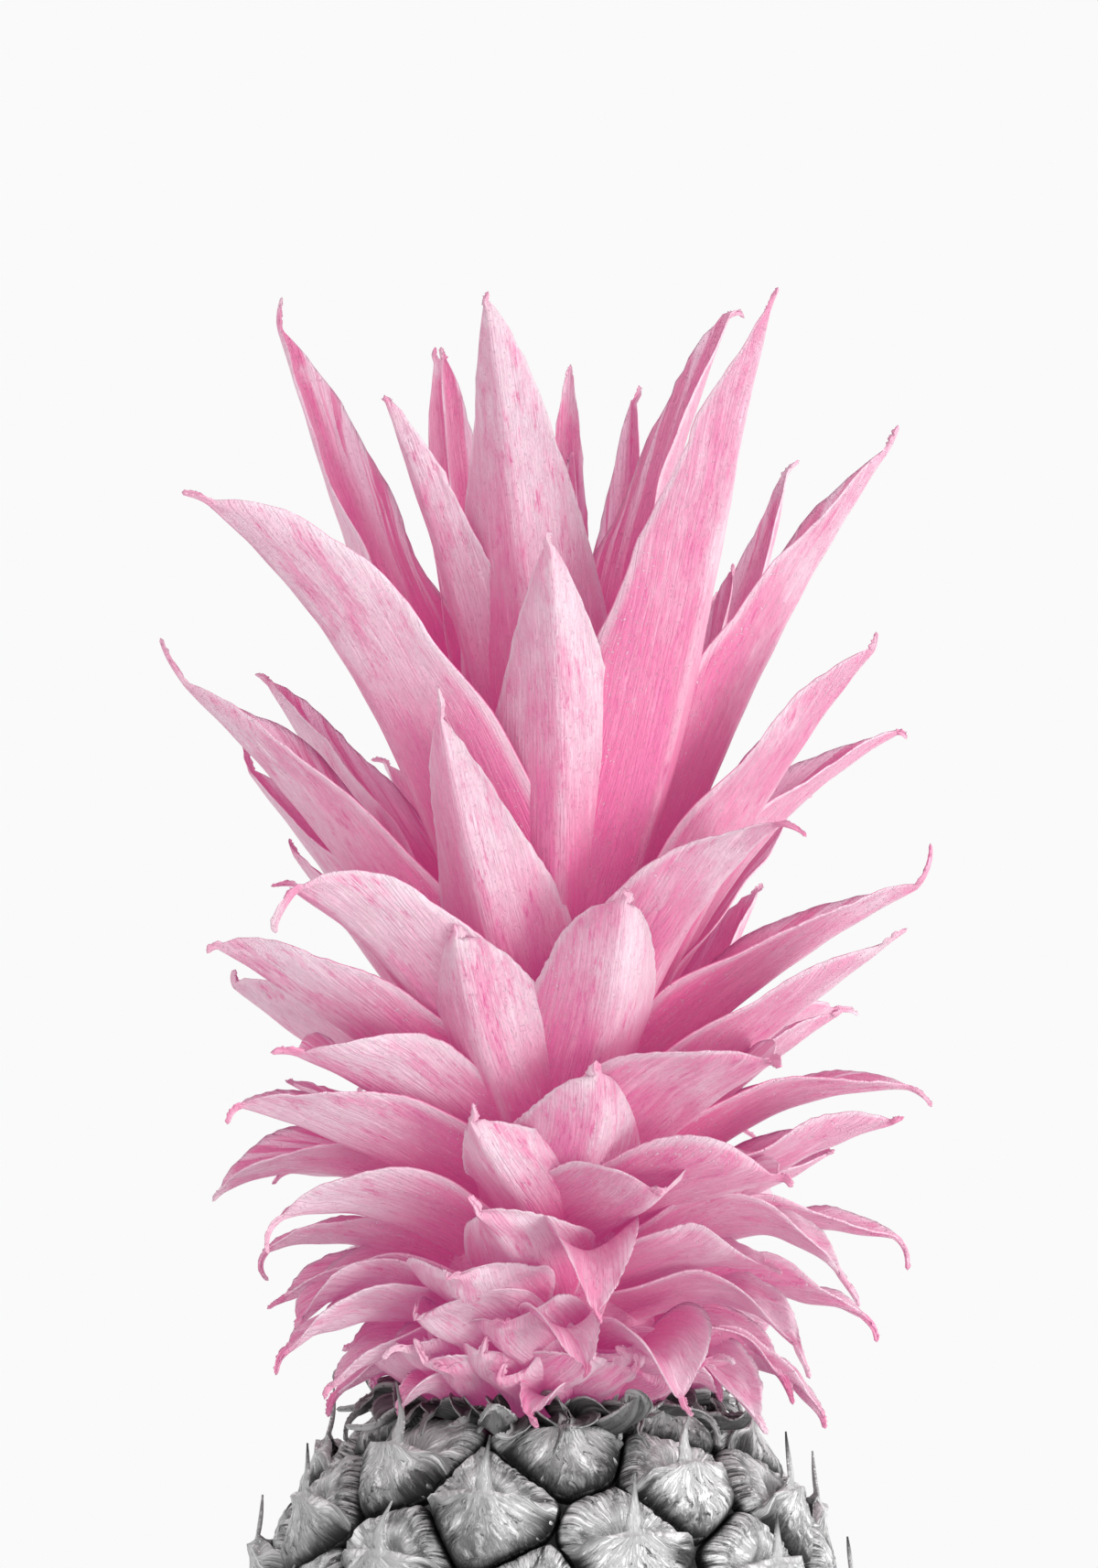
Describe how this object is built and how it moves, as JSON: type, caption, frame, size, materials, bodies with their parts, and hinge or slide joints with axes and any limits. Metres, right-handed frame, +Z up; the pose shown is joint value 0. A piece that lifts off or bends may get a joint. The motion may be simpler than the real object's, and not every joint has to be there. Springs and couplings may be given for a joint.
{
  "type": "pineapple",
  "caption": "Whole pineapple standing on its base: a barrel-shaped fruit with spined eyes in spirals and a tall crown of channelled, hook-tipped leaves.",
  "frame": {"origin": "middle of the flat spot under the fruit, on the surface that it stands on", "axes": "+Z up along the fruit, from the base to the crown; -Y is the side that the picture shows; +X is to the right seen from there"},
  "size_m": [0.1362, 0.1244, 0.3459],
  "materials": {
    "skin": "rough, papery bracts over a waxy rind, grey with near-black grooves",
    "leaf": "satin leaf with a pale bloom, pink, deeper between the leaves",
    "cut_stalk": "dry, fibrous cut end"
  },
  "bodies": {
    "root": {"fruit": "skin", "crown": "leaf", "stalk": "cut_stalk"}
  },
  "joints": []
}
